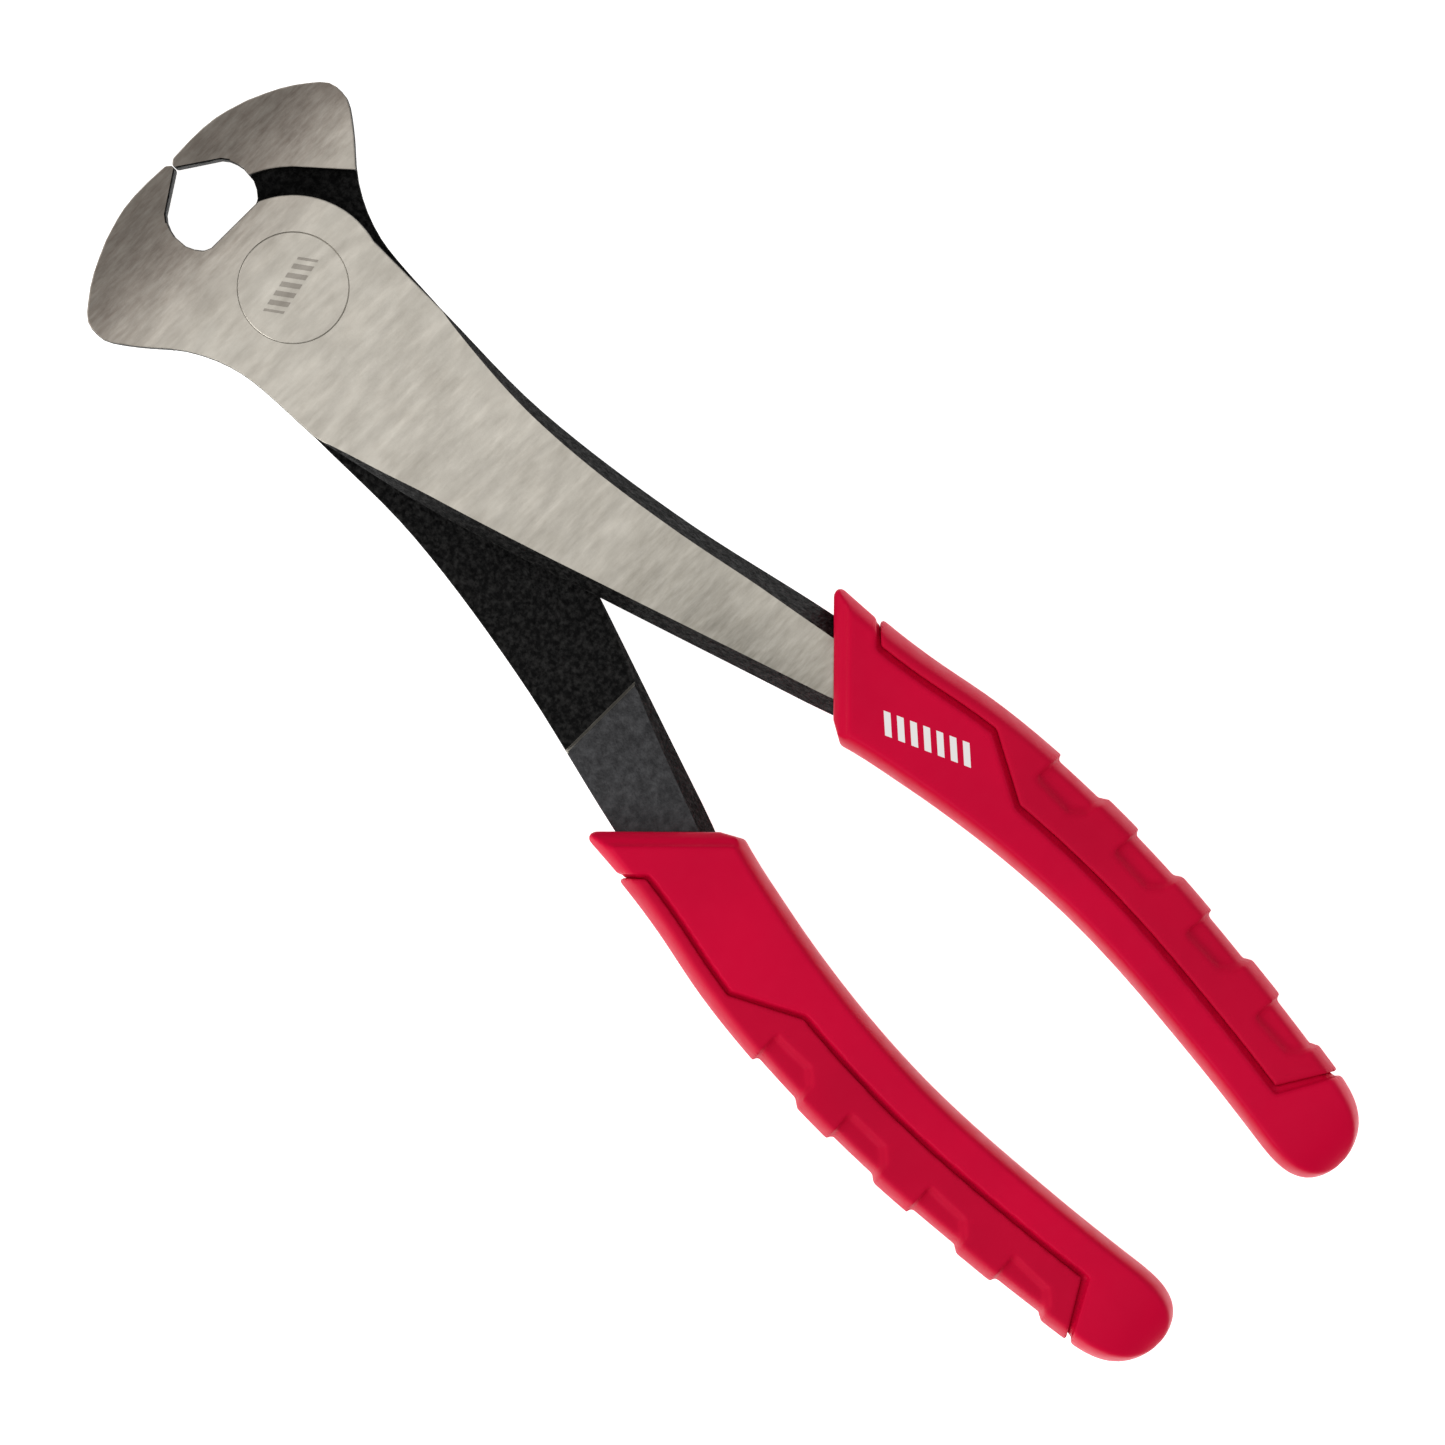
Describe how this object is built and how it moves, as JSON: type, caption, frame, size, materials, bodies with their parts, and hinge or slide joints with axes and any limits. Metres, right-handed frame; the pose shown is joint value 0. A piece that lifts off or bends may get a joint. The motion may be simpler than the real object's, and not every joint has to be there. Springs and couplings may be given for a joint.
{
  "type": "end-cutting nippers",
  "caption": "Long-handled end-cutting tile nippers: forged steel halves crossing at a flush rivet, with moulded red grips.",
  "frame": {"origin": "centre of the bounding box in X and Y, at the lowest point in Z: the tool lies on the side of its jaws", "axes": "+Y along the tool towards the jaws, +Z along the pivot axis, +X across the handles"},
  "size_m": [0.0656, 0.2291, 0.024],
  "materials": {
    "forged_steel": "black oxide with ground faces",
    "rivet_steel": "ground flush",
    "grip_sleeve": "moulded, satin",
    "grip_pad": "moulded, matt"
  },
  "bodies": {
    "front": {"front_half": "forged_steel", "pivot_rivet": "rivet_steel", "front_grip_sleeve": "grip_sleeve", "front_grip_pad": "grip_pad"},
    "rear": {"rear_half": "forged_steel", "rear_grip_sleeve": "grip_sleeve", "rear_grip_pad": "grip_pad"}
  },
  "joints": [
    {"name": "pivot", "type": "hinge", "parent": "front", "child": "rear", "pos_m": [0, 0.08815, 0.012], "axis": [0, 0, -1], "range_deg": [0, 50]}
  ]
}
